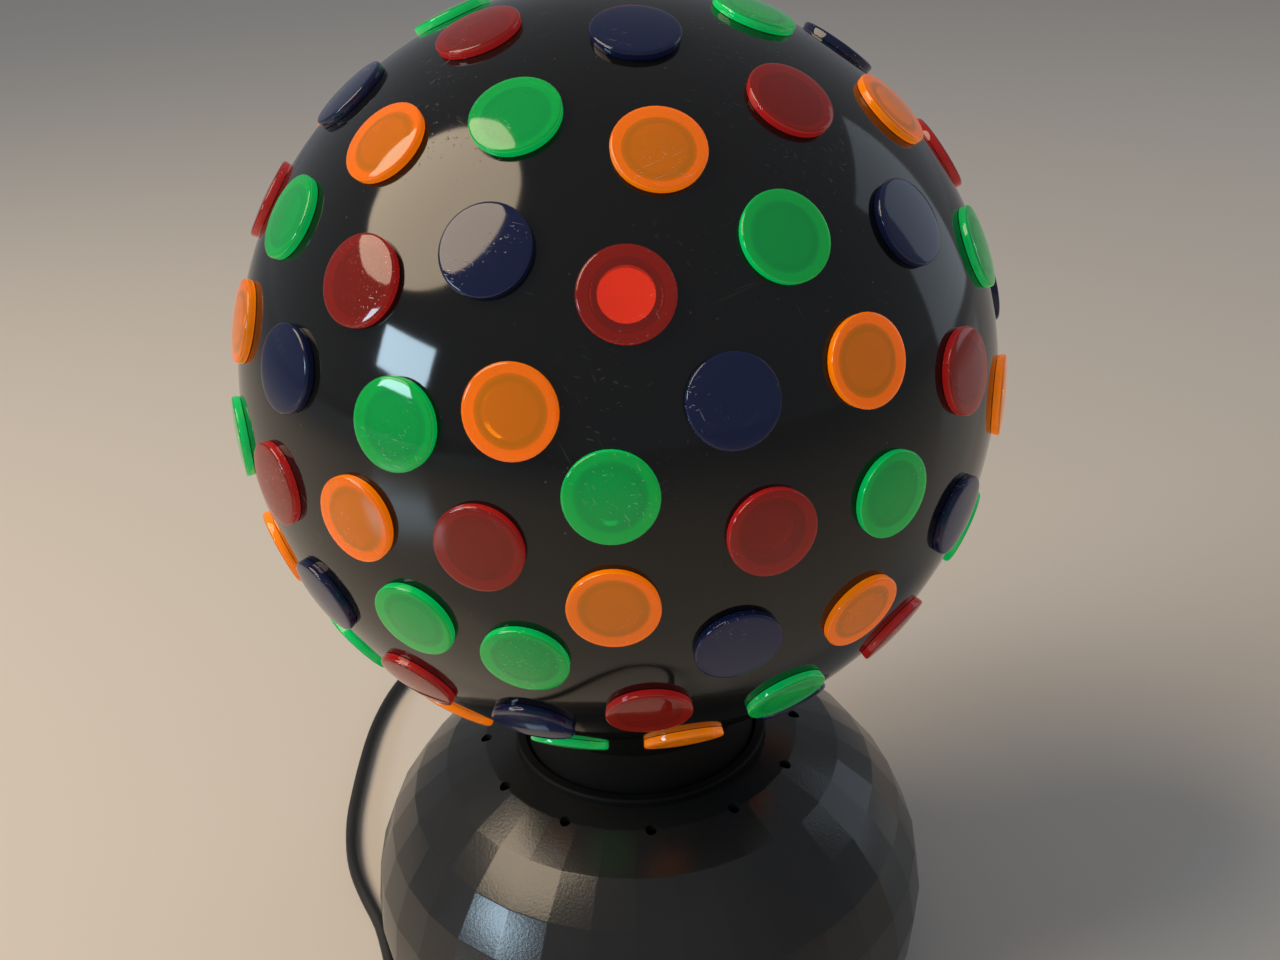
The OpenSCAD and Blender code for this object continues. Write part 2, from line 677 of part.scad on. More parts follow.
module plug_body() {
    neck_r = 6.5;
    neck_len = 8;
    half = plug_w / 2;
    c = 2;
    edge = 3;
    right = [[neck_r - c, 0], [neck_r, -c], [neck_r, -neck_len], [half - c, -neck_len - 5 * c],
        [half, -neck_len - 7 * c], [half, c - plug_len], [half - c, -plug_len]];
    left = [for (i = [len(right) - 1:-1:0]) [-right[i][0], right[i][1]]];
    color("#141414") translate([plug_x, plug_y, 0]) intersection() {
        linear_extrude(plug_t) polygon(concat(right, left));
        rotate([90, 0, 0]) translate([0, 0, -cut_past]) linear_extrude(plug_len + 2 * cut_past)
            polygon([[-half, edge], [edge - half, 0], [half - edge, 0], [half, edge], [half, plug_t - edge],
                [half - edge, plug_t], [edge - half, plug_t], [-half, plug_t - edge]]);
    }
}

module plug_pins() {
    pin_r = plug_pin_d / 2;
    tip = 1.2;
    color("#cfcfcf") for (s = [-1, 1])
        translate([plug_x + s * plug_pin_gap / 2, plug_y - plug_len, plug_t / 2]) rotate([90, 0, 0])
            rotate_extrude($fn = 32) polygon([[0, 0], [pin_r, 0], [pin_r, plug_pin_len - tip],
                [pin_r - tip, plug_pin_len], [0, plug_pin_len]]);
}

// Puts children on the clamp screws' places, which turn with the globe
module at_clamp() {
    rotate([0, 0, globe_turn]) around(clamp_screw_count, clamp_screw_r, clamp_turn) children();
}

module turntable() {
    seat = [for (i = [4:-1:0]) let (r = tube_in_r + (saddle_r - tube_in_r) * i / 4) [r, under(r, seat_gap)]];
    lip_z = under(saddle_r, seat_gap);
    gear_top = gear_z + gear_w;
    color("#151617") difference() {
        union() {
            // Hub, web and rim
            translate([0, 0, hub_z]) cylinder(d = hub_d, h = hub_h);
            translate([0, 0, gear_z]) cylinder(r = rim_r + rim_t / 2, h = web_t);
            translate([0, 0, gear_z]) linear_extrude(gear_w) difference() {
                polygon(gear_points(gear_teeth));
                circle(r = rim_r);
            }
            // Funnel, tube and saddle
            rotate_extrude($fn = 96) polygon(concat([[rim_r, gear_top - funnel_lap],
                [gear_root_r, gear_top - funnel_lap], [gear_root_r, funnel_z], [tube_r, funnel_z + funnel_h],
                [tube_r, lip_z - flare_h], [saddle_r, lip_z - saddle_t]], seat,
                [[tube_in_r, funnel_z + funnel_h], [rim_r, funnel_z]]));
        }
        translate([0, 0, hub_z - cut_past]) cylinder(r = bush_r + screw_gap, h = hub_h + 2 * cut_past);
        around(web_hole_count, (hub_d / 2 + rim_r) / 2) translate([0, 0, gear_z]) bore(2 * web_hole_r, web_t);
        at_clamp() translate([0, 0, under(clamp_screw_r) - clamp_screw_grip])
            cylinder(d = thread_bore_d, h = 3 * clamp_screw_grip, $fn = 24);
    }
}

module bush() {
    color("#b07a3a") translate([0, 0, hub_z]) difference() {
        cylinder(r = bush_r, h = hub_h);
        translate([0, 0, -cut_past]) cylinder(d = stem_d + 2 * run_gap, h = hub_h + 2 * cut_past);
    }
}

module clamp_ring() {
    face = -globe_wall - seat_gap;
    seat = [for (i = [0:4]) let (r = mouth_r + (clamp_r - mouth_r) * i / 4) [r, under(r, face)]];
    top = seat[4][1] + clamp_t;
    color("#6f7275") difference() {
        rotate_extrude($fn = 96)
            polygon(concat([[clamp_in_r, seat[0][1]]], seat, [[clamp_r, top], [clamp_in_r, top]]));
        at_clamp() translate([0, 0, seat[0][1]]) bore(clear_bore_d, top - seat[0][1]);
    }
}

module clamp_screws() {
    top = under(clamp_r, -globe_wall - seat_gap) + clamp_t;
    grip = top - under(clamp_screw_r) + clamp_screw_grip - blind_gap;
    color("silver") at_clamp() translate([0, 0, top]) rotate([180, 0, 0]) screw(grip);
}

// Puts children on every lens place of one colour, or of all, with +Z out of the globe
module at_lenses(want = "all") {
    translate([0, 0, globe_z]) rotate([0, 0, globe_turn])
        for (k = [0:len(ring_counts) - 1]) for (i = [0:ring_counts[k] - 1])
            if (off_bottom(k * ring_step, lens_az(k, i)) > neck_keep_out
                    && (want == "all" || want == lens_color(k, i)))
                for (half = k == len(ring_counts) - 1 ? [0] : [0, 180])
                    rotate([0, 0, half]) rotate([90, 0, 0]) rotate([0, 0, -lens_az(k, i)])
                        rotate([-k * ring_step, 0, 0]) translate([0, 0, globe_r]) children();
}

module lens() {
    crown_r = lens_r - lens_edge;
    crown_ball = (crown_r * crown_r + lens_crown * lens_crown) / (2 * lens_crown);
    foot = lens_r - lens_lean;
    top = lens_h + lens_crown;
    hollow_r = plug_r - lens_plug_wall;
    plug_end = -globe_wall - lens_plug_past;
    rotate_extrude($fn = 48) polygon(concat([[0, top - lens_skin], [hollow_r, top - lens_skin],
        [hollow_r, plug_end], [plug_r, plug_end], [plug_r, seat_gap - drop(plug_r)],
        [foot, seat_gap - drop(foot)]],
        arc(crown_r, lens_h - lens_edge, lens_edge, 0, 90, 3),
        [for (i = [3:-1:0]) let (r = crown_r * i / 4) [r, top - drop(r, crown_ball)]]));
}

module globe() {
    color("#0a0a0b") difference() {
        translate([0, 0, globe_z]) difference() {
            sphere(r = globe_r, $fn = 180);
            sphere(r = globe_r - globe_wall, $fn = 180);
        }
        translate([0, 0, globe_z - globe_r - cut_past]) cylinder(r = mouth_r, h = globe_r / 2, $fn = 96);
        at_lenses() translate([0, 0, -4 * globe_wall])
            cylinder(r = plug_r + seat_gap, h = 6 * globe_wall, $fn = 32);
        at_clamp() translate([0, 0, under(clamp_screw_r) - globe_wall])
            cylinder(d = clear_bore_d, h = 4 * globe_wall, $fn = 24);
    }
}

module lenses_red() {
    color("#8a1216", 0.85) at_lenses("red") lens();
}

module lenses_orange() {
    color("#f07800", 0.85) at_lenses("orange") lens();
}

module lenses_green() {
    color("#00a846", 0.85) at_lenses("green") lens();
}

module lenses_blue() {
    color("#141a40", 0.9) at_lenses("blue") lens();
}

base_shell();
neck_ring();
base_plate();
rubber_feet();
base_screws();
chassis_plate();
pillars();
pillar_screws();
stem();
stem_nuts();
thrust_washer();
lamp_holder();
thread_sleeve();
bulb_cap();
bulb_glass();
motor();
motor_screws();
terminal_block();
inner_lead();
strain_relief();
cord();
cord_coil();
cord_tie();
cord_tail();
plug_body();
plug_pins();
turntable();
bush();
clamp_ring();
clamp_screws();
globe();
lenses_red();
lenses_orange();
lenses_green();
lenses_blue();
motor_shaft();
pinion();
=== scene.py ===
import math

import bpy
from mathutils import Matrix, Vector


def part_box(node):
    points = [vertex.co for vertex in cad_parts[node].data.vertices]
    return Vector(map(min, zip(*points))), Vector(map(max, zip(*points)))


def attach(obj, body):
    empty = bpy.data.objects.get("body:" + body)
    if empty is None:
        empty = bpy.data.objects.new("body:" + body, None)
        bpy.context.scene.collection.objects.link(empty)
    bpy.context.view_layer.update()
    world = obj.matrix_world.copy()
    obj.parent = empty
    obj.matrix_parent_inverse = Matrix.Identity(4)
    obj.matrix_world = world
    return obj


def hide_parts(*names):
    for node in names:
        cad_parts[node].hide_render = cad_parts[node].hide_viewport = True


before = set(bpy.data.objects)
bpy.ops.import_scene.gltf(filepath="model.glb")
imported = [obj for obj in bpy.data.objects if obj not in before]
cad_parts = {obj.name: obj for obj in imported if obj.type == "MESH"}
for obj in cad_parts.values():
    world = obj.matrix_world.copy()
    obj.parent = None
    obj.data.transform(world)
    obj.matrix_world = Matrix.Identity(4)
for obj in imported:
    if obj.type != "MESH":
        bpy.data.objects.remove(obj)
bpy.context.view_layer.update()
print("frame loaded:", len(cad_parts), "nodes")

scene = bpy.context.scene
scene.view_settings.view_transform = "Standard"


def deselectAll():
    if bpy.context.mode != "OBJECT":
        bpy.ops.object.mode_set(mode="OBJECT")
    bpy.ops.object.select_all(action="DESELECT")


def makeActive(piece):
    deselectAll()
    piece.select_set(True)
    bpy.context.view_layer.objects.active = piece


# camera, from the fit of the lens lattice and the stand's facet rings

cameraSet = {
    "place": (-0.0139, -0.5314, 0.5218),
    "right": (0.9969, -0.0613, -0.0480),
    "up": (0.0704, 0.4470, 0.8918),
    "lens": 39.35,
    "sensor": 36.0,
}


def makeCamera():
    right = Vector(cameraSet["right"]).normalized()
    back = right.cross(Vector(cameraSet["up"])).normalized()
    up = back.cross(right)
    data = bpy.data.cameras.new("photoCamera")
    data.lens = cameraSet["lens"]
    data.sensor_width = cameraSet["sensor"]
    camera = bpy.data.objects.new("photoCamera", data)
    scene.collection.objects.link(camera)
    turn = Matrix((right, up, back)).transposed().to_4x4()
    camera.matrix_world = Matrix.Translation(cameraSet["place"]) @ turn
    scene.camera = camera


makeCamera()
print("camera placed")


# shader helpers

def addNode(tree, kind, **values):
    node = tree.nodes.new(kind)
    for name, value in values.items():
        setattr(node, name, value)
    return node


def setInputs(node, **values):
    for name, value in values.items():
        node.inputs[name.replace("_", " ")].default_value = value
    return node


def rgba(colour):
    return (colour[0], colour[1], colour[2], 1.0)


def newGroup(name, inputs, outputs):
    group = bpy.data.node_groups.new(name, "ShaderNodeTree")
    for label, value in inputs.items():
        socket = group.interface.new_socket(label, in_out="INPUT", socket_type="NodeSocketFloat")
        socket.default_value = value
    for label in outputs:
        group.interface.new_socket(label, in_out="OUTPUT", socket_type="NodeSocketFloat")
    return group, group.nodes.new("NodeGroupInput"), group.nodes.new("NodeGroupOutput")


def mathNode(tree, operation, first, second):
    node = addNode(tree, "ShaderNodeMath", operation=operation)
    for slot, value in enumerate((first, second)):
        if isinstance(value, (int, float)):
            node.inputs[slot].default_value = value
        else:
            tree.links.new(value, node.inputs[slot])
    return node.outputs[0]


def ramp(tree, source, low, high):
    node = addNode(tree, "ShaderNodeMapRange", interpolation_type="SMOOTHSTEP")
    setInputs(node, From_Min=low, From_Max=high)
    tree.links.new(source, node.inputs["Value"])
    return node.outputs["Result"]


dustSet = {
    "driftScale": 22.0,
    "driftDetail": 3.0,
    "dot": (0.2, 0.08),
    "chosen": (0.78, 0.86),
    "drift": (0.42, 0.7),
}


def makeDustGroup():  # sparse specks, thicker in drifts
    group, source, sink = newGroup("dustSpecks", {"Scale": 900.0, "Cover": 0.5}, ["Mask"])
    coords = addNode(group, "ShaderNodeTexCoord").outputs["Object"]
    specks = addNode(group, "ShaderNodeTexVoronoi", feature="F1")
    group.links.new(coords, specks.inputs["Vector"])
    group.links.new(source.outputs["Scale"], specks.inputs["Scale"])
    drift = setInputs(addNode(group, "ShaderNodeTexNoise"), Scale=dustSet["driftScale"],
                      Detail=dustSet["driftDetail"])
    group.links.new(coords, drift.inputs["Vector"])
    dots = ramp(group, specks.outputs["Distance"], *dustSet["dot"])
    chosen = ramp(group, specks.outputs["Color"], *dustSet["chosen"])
    cover = ramp(group, drift.outputs["Fac"], *dustSet["drift"])
    mask = mathNode(group, "MULTIPLY", mathNode(group, "MULTIPLY", dots, chosen), cover)
    group.links.new(mathNode(group, "MULTIPLY", mask, source.outputs["Cover"]), sink.inputs["Mask"])
    return group


scratchSet = {
    "lines": [((0.2, 0.4, 1.2), 26.0), ((1.1, 0.2, 1.4), 34.0), ((0.7, 1.9, 2.6), 21.0)],  # turn, repeats along
    "across": 900.0,  # repeats per metre across a line
    "lineDetail": 1.0,
    "lineCut": (0.71, 0.77),
    "patchScale": 13.0,
    "patchDetail": 2.0,
    "patchCut": (0.5, 0.66),
}


def makeScratchGroup():  # hairline scratches in three directions, gathered in patches
    group, source, sink = newGroup("hairScratches", {"Amount": 1.0, "Scale": 1.0, "Reach": 0.0}, ["Mask"])
    place = addNode(group, "ShaderNodeVectorMath", operation="SCALE")
    group.links.new(addNode(group, "ShaderNodeTexCoord").outputs["Object"], place.inputs["Vector"])
    group.links.new(source.outputs["Scale"], place.inputs["Scale"])
    coords = place.outputs["Vector"]
    across = 1 / scratchSet["across"]
    total = None
    for turn, along in scratchSet["lines"]:
        turned = setInputs(addNode(group, "ShaderNodeMapping", vector_type="TEXTURE"), Rotation=turn,
                           Scale=(across, 1 / along, across))
        group.links.new(coords, turned.inputs["Vector"])
        hair = setInputs(addNode(group, "ShaderNodeTexNoise"), Scale=1.0, Detail=scratchSet["lineDetail"])
        group.links.new(turned.outputs["Vector"], hair.inputs["Vector"])
        line = ramp(group, hair.outputs["Fac"], *scratchSet["lineCut"])
        total = line if total is None else mathNode(group, "MAXIMUM", total, line)
    patch = setInputs(addNode(group, "ShaderNodeTexNoise"), Scale=scratchSet["patchScale"],
                      Detail=scratchSet["patchDetail"])
    group.links.new(coords, patch.inputs["Vector"])
    reached = mathNode(group, "ADD", patch.outputs["Fac"], source.outputs["Reach"])
    where = ramp(group, reached, *scratchSet["patchCut"])
    mask = mathNode(group, "MULTIPLY", total, where)
    group.links.new(mathNode(group, "MULTIPLY", mask, source.outputs["Amount"]), sink.inputs["Mask"])
    return group


grainSet = {"fineDetail": 2.0, "slowScale": 16.0, "slowDetail": 3.0, "slowCut": (0.3, 0.7)}


def makeGrainGroup():  # fine moulded grain and slow drift
    group, source, sink = newGroup("mouldGrain", {"Scale": 2600.0}, ["Height", "Drift"])
    coords = addNode(group, "ShaderNodeTexCoord").outputs["Object"]
    fine = setInputs(addNode(group, "ShaderNodeTexNoise"), Detail=grainSet["fineDetail"])
    group.links.new(coords, fine.inputs["Vector"])
    group.links.new(source.outputs["Scale"], fine.inputs["Scale"])
    slow = setInputs(addNode(group, "ShaderNodeTexNoise"), Scale=grainSet["slowScale"],
                     Detail=grainSet["slowDetail"])
    group.links.new(coords, slow.inputs["Vector"])
    group.links.new(fine.outputs["Fac"], sink.inputs["Height"])
    group.links.new(ramp(group, slow.outputs["Fac"], *grainSet["slowCut"]), sink.inputs["Drift"])
    return group


dustSpecks = makeDustGroup()
hairScratches = makeScratchGroup()
mouldGrain = makeGrainGroup()


def newMaterial(name):
    material = bpy.data.materials.new(name)
    material.use_nodes = True
    return material, material.node_tree, material.node_tree.nodes["Principled BSDF"]


def useGroup(tree, group, **values):
    node = addNode(tree, "ShaderNodeGroup", node_tree=group)
    return setInputs(node, **values)


def mixColours(tree, mask, first, second):
    node = addNode(tree, "ShaderNodeMix", data_type="RGBA")
    for socket, value in ((node.inputs[6], first), (node.inputs[7], second)):
        if isinstance(value, tuple):
            socket.default_value = rgba(value)
        else:
            tree.links.new(value, socket)
    tree.links.new(mask, node.inputs[0])
    return node.outputs[2]


def spread(tree, mask, low, high):  # a value between low and high
    node = setInputs(addNode(tree, "ShaderNodeMapRange"), To_Min=low, To_Max=high)
    tree.links.new(mask, node.inputs["Value"])
    return node.outputs["Result"]


def bump(tree, shader, height, strength, distance):
    node = setInputs(addNode(tree, "ShaderNodeBump"), Strength=strength, Distance=distance)
    tree.links.new(height, node.inputs["Height"])
    tree.links.new(node.outputs["Normal"], shader.inputs["Normal"])


# one finish: colour, roughness range, grain and dust

finishSet = {
    "standBlack": {"colour": (0.014, 0.014, 0.014), "drift": (0.018, 0.018, 0.018), "rough": (0.17, 0.22),
                   "grain": 800.0, "bump": 0.1, "dust": 0.2, "gloss": 0.52},
    # neck ring and turntable: black painted darker than the stand's, as painted shade under the globe
    "neckBlackPaintedShade": {"colour": (0.006, 0.006, 0.006), "drift": (0.008, 0.008, 0.008), "rough": (0.5, 0.6),
                  "grain": 2200.0, "bump": 0.06, "dust": 0.1, "gloss": 0.14},
    "footRubber": {"colour": (0.012, 0.012, 0.012), "drift": (0.02, 0.02, 0.02), "rough": (0.75, 0.9),
                   "grain": 1800.0, "bump": 0.2, "dust": 0.5},
    "cordSheath": {"colour": (0.010, 0.010, 0.011), "drift": (0.016, 0.016, 0.016), "rough": (0.42, 0.55),
                   "grain": 1500.0, "bump": 0.06, "dust": 0.3},
    "plugBlack": {"colour": (0.013, 0.013, 0.014), "drift": (0.018, 0.018, 0.018), "rough": (0.4, 0.55),
                  "grain": 2000.0, "bump": 0.12, "dust": 0.3},
    "zincSteel": {"colour": (0.56, 0.57, 0.58), "drift": (0.47, 0.48, 0.5), "rough": (0.3, 0.45),
                  "grain": 900.0, "bump": 0.05, "dust": 0.0, "metal": 1.0},
    "turnedAluminium": {"colour": (0.76, 0.76, 0.77), "drift": (0.68, 0.68, 0.69), "rough": (0.25, 0.38),
                        "grain": 900.0, "bump": 0.05, "dust": 0.0, "metal": 1.0},
    "plainBrass": {"colour": (0.72, 0.5, 0.2), "drift": (0.6, 0.42, 0.17), "rough": (0.25, 0.4),
                   "grain": 900.0, "bump": 0.05, "dust": 0.0, "metal": 1.0},
    "creamPlastic": {"colour": (0.78, 0.75, 0.66), "drift": (0.7, 0.67, 0.58), "rough": (0.4, 0.5),
                     "grain": 1800.0, "bump": 0.08, "dust": 0.2},
    "holderBlack": {"colour": (0.02, 0.018, 0.016), "drift": (0.03, 0.027, 0.024), "rough": (0.22, 0.32),
                    "grain": 1800.0, "bump": 0.05, "dust": 0.2},
}
dustColour = (0.22, 0.20, 0.18)
dustScale = 850.0  # specks per metre
grainDepth = 0.0004


def makeFinish(name):
    want = finishSet[name]
    material, tree, shader = newMaterial(name)
    grain = useGroup(tree, mouldGrain, Scale=want["grain"])
    colour = mixColours(tree, grain.outputs["Drift"], want["colour"], want["drift"])
    if want["dust"] > 0:
        dust = useGroup(tree, dustSpecks, Scale=dustScale, Cover=want["dust"])
        colour = mixColours(tree, dust.outputs["Mask"], colour, dustColour)
    tree.links.new(colour, shader.inputs["Base Color"])
    tree.links.new(spread(tree, grain.outputs["Drift"], *want["rough"]), shader.inputs["Roughness"])
    shader.inputs["Metallic"].default_value = want.get("metal", 0.0)
    shader.inputs["Specular IOR Level"].default_value = want.get("gloss", 0.5)
    bump(tree, shader, grain.outputs["Height"], want["bump"], grainDepth)
    return material


finishes = {name: makeFinish(name) for name in finishSet}


globeSet = {
    "colour": (0.0045, 0.0046, 0.0045),
    "scratched": (0.03, 0.03, 0.03),
    "rough": (0.05, 0.09),
    "scratchRough": 0.3,
    "dustScale": 420.0,
    "dustCover": 0.45,
    "grain": 300.0,
    "bump": 0.12,
    "depth": 0.0003,
}


def makeGlobeGloss():
    material, tree, shader = newMaterial("globeGloss")
    scratch = useGroup(tree, hairScratches, Amount=1.0)
    dust = useGroup(tree, dustSpecks, Scale=globeSet["dustScale"], Cover=globeSet["dustCover"])
    grain = useGroup(tree, mouldGrain, Scale=globeSet["grain"])
    marks = mixColours(tree, scratch.outputs["Mask"], globeSet["colour"], globeSet["scratched"])
    tree.links.new(mixColours(tree, dust.outputs["Mask"], marks, dustColour), shader.inputs["Base Color"])
    base = spread(tree, grain.outputs["Drift"], *globeSet["rough"])
    rubbed = mathNode(tree, "MULTIPLY", scratch.outputs["Mask"], globeSet["scratchRough"])
    tree.links.new(mathNode(tree, "ADD", base, rubbed), shader.inputs["Roughness"])
    bump(tree, shader, scratch.outputs["Mask"], globeSet["bump"], globeSet["depth"])
    return material


globeGloss = makeGlobeGloss()


bulbSet = {
    "colour": (0.9, 0.88, 0.84),
    "drift": (0.86, 0.84, 0.8),
    "rough": (0.3, 0.4),
    "grain": 1800.0,
    "glowColour": (1.0, 0.9, 0.76),
    "glow": 6.0,
}


def makeBulbGlass():
    material, tree, shader = newMaterial("bulbFrost")
    grain = useGroup(tree, mouldGrain, Scale=bulbSet["grain"])
    tint = mixColours(tree, grain.outputs["Drift"], bulbSet["colour"], bulbSet["drift"])
    tree.links.new(tint, shader.inputs["Base Color"])
    tree.links.new(spread(tree, grain.outputs["Drift"], *bulbSet["rough"]), shader.inputs["Roughness"])
    shader.inputs["Emission Color"].default_value = rgba(bulbSet["glowColour"])
    shader.inputs["Emission Strength"].default_value = bulbSet["glow"]
    return material


bulbFrost = makeBulbGlass()
print("finishes made")


# cord: one line from the strain relief along the table, round the coil and on to the plug

cordSet = {
    "diameter": 0.0065,
    "exit": (0.02834, -0.16072, 0.03092),
    "way": (0.1727, -0.97941, -0.10453),
    "straight": 0.009,
    "floorGap": 0.00005,
    "route": [(0.031, -0.182, 0.019), (0.029, -0.197, 0.012), (0.022, -0.210, 0.006), (0.010, -0.219, 0.002),
              (-0.005, -0.221, 0), (-0.020, -0.218, 0), (-0.033, -0.209, 0), (-0.045, -0.198, 0),
              (-0.055, -0.185, 0), (-0.064, -0.170, 0), (-0.073, -0.153, 0), (-0.081, -0.135, 0),
              (-0.090, -0.116, 0), (-0.101, -0.095, 0), (-0.111, -0.074, 0), (-0.119, -0.054, 0),
              (-0.126, -0.033, 0), (-0.131, -0.012, 0), (-0.138, 0.012, 0), (-0.147, 0.032, 0),
              (-0.155, 0.052, 0), (-0.160, 0.072, 0),
              (-0.163, 0.098, 0), (-0.163, 0.124, 0), (-0.162, 0.150, 0), (-0.160, 0.176, 0),
              (-0.156, 0.200, 0), (-0.150, 0.222, 0), (-0.141, 0.243, 0), (-0.127, 0.262, 0),
              (-0.108, 0.276, 0), (-0.086, 0.284, 0), (-0.062, 0.288, 0), (-0.042, 0.289, 0)],
    "coilPlace": (-0.020, 0.250),
    "coilRadius": 0.036,
    "coilStart": 90,  # degrees; the coil runs clockwise from here
    "lastTurn": 90,
    "moveAngle": 70,  # turned while the cord moves to its next slot
    "coilStep": 10,
    "slots": [(1, 0), (0, 0), (0, 1), (1, 1), (1, 2)],  # column and layer of each turn
    "plug": (0.01925, 0.214, 0.0068),
    "tail": [(0.33, 0.22), (0.67, 0.78)],  # share of the way to the plug, share of the drop
    "pathSteps": 3,
    "roundness": 3,
}


def smoothPath(points, steps):
    out = []
    for i in range(len(points) - 1):
        a, b = points[max(i - 1, 0)], points[i]
        c, d = points[i + 1], points[min(i + 2, len(points) - 1)]
        for j in range(steps):
            t = j / steps
            out.append(0.5 * (2 * b + (c - a) * t + (2 * a - 5 * b + 4 * c - d) * t * t
                              + (3 * b - a - 3 * c + d) * t * t * t))
    return out + [points[-1]]


def coilPoints():
    half = cordSet["diameter"] / 2
    move = cordSet["moveAngle"]
    slots = cordSet["slots"]
    stops = []  # (angle turned, slot) at which each turn starts and ends
    start = 0
    for k, slot in enumerate(slots):
        last = k == len(slots) - 1
        end = 360 * k + cordSet["lastTurn"] if last else 360 * (k + 1) - move * (k + 1)
        stops.append((start, end, slot))
        start = end + move
    points = []
    for s in range(0, stops[-1][1] + 1, cordSet["coilStep"]):
        here = next((stop for stop in stops if stop[0] <= s <= stop[1]), None)
        if here:
            column, layer = here[2]
        else:
            before = max((stop for stop in stops if stop[1] < s), key=lambda stop: stop[1])
            after = min((stop for stop in stops if stop[0] > s), key=lambda stop: stop[0])
            t = (s - before[1]) / move
            t = t * t * (3 - 2 * t)
            column = before[2][0] + (after[2][0] - before[2][0]) * t
            layer = before[2][1] + (after[2][1] - before[2][1]) * t
        radius = cordSet["coilRadius"] + (2 * column - 1) * half
        angle = math.radians(cordSet["coilStart"] - s)
        points.append(Vector((cordSet["coilPlace"][0] + radius * math.cos(angle),
                              cordSet["coilPlace"][1] + radius * math.sin(angle),
                              half + cordSet["floorGap"] + layer * 2 * half)))
    return points


def makeCord():
    half = cordSet["diameter"] / 2
    lift = Vector((0, 0, half + cordSet["floorGap"]))
    start = Vector(cordSet["exit"])
    route = [start + t * cordSet["straight"] * Vector(cordSet["way"]) for t in (0, 0.5, 1)]
    route += [Vector(p) + lift for p in cordSet["route"]]
    coil = coilPoints()
    plug = Vector(cordSet["plug"])
    last = coil[-1]
    tail = []
    for share, drop in cordSet["tail"]:
        point = last.lerp(plug, share)
        point.z = last.z + (plug.z - last.z) * drop
        tail.append(point)
    path = smoothPath(route + coil + tail + [plug], cordSet["pathSteps"])
    data = bpy.data.curves.new("mainsCord", "CURVE")
    data.dimensions = "3D"
    data.bevel_depth = half
    data.bevel_resolution = cordSet["roundness"]
    data.use_fill_caps = True
    line = data.splines.new("POLY")
    line.points.add(len(path) - 1)
    for point, place in zip(line.points, path):
        point.co = (*place, 1.0)
    cord = bpy.data.objects.new("mainsCord", data)
    scene.collection.objects.link(cord)
    data.materials.append(finishes["cordSheath"])
    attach(cord, "stand")
    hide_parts("cord", "cord_coil", "cord_tail")


makeCord()


# stand shell: rings of flat facets pulled up from the foot

shellSet = {
    "facets": 36,
    "midRadius": 0.044,
    "sectionRadius": 0.087,
    "wall": 0.003,
    "topAngle": 71,
    "rowStep": 14,
    "rows": 7,
    "edge": 0.0004,
    "edgeSegments": 2,
    "ventCount": 12,
    "ventRadius": 0.0026,
    "ventDepth": 0.02,
    "ventSides": 24,
    "ventIn": 0.0002,
    "holeIn": 0.0029,
    "smoothAngle": 6,
}


def shellRings():
    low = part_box("base_shell")[0]
    lowAngle = shellSet["topAngle"] - shellSet["rows"] * shellSet["rowStep"]
    midZ = low.z - shellSet["sectionRadius"] * math.sin(math.radians(lowAngle))
    rings = []
    for k in range(shellSet["rows"] + 1):
        angle = math.radians(lowAngle + k * shellSet["rowStep"])
        rings.append((shellSet["midRadius"] + shellSet["sectionRadius"] * math.cos(angle),
                      midZ + shellSet["sectionRadius"] * math.sin(angle)))
    return rings


def pullRings(rings):  # extrudes the selected ring of edges through (radius, height) steps
    for before, after in zip(rings, rings[1:]):
        bpy.ops.mesh.extrude_edges_move(TRANSFORM_OT_translate={"value": (0, 0, after[1] - before[1])})
        scale = after[0] / before[0]
        bpy.ops.transform.resize(value=(scale, scale, 1), center_override=(0, 0, after[1]))


def applyModifier(piece, kind, **values):
    modifier = piece.modifiers.new(kind.title(), kind)
    for name, value in values.items():
        setattr(modifier, name, value)
    makeActive(piece)
    bpy.ops.object.modifier_apply(modifier=modifier.name)


def joinPieces(pieces, name):
    deselectAll()
    for piece in pieces:
        piece.select_set(True)
    bpy.context.view_layer.objects.active = pieces[0]
    bpy.ops.object.join()
    joined = bpy.context.view_layer.objects.active
    joined.name = name
    bpy.ops.object.transform_apply(location=True, rotation=True, scale=True)
    return joined


def cutAway(piece, cutter):
    applyModifier(piece, "BOOLEAN", object=cutter, operation="DIFFERENCE", solver="EXACT", use_self=True)
    bpy.data.objects.remove(cutter, do_unlink=True)


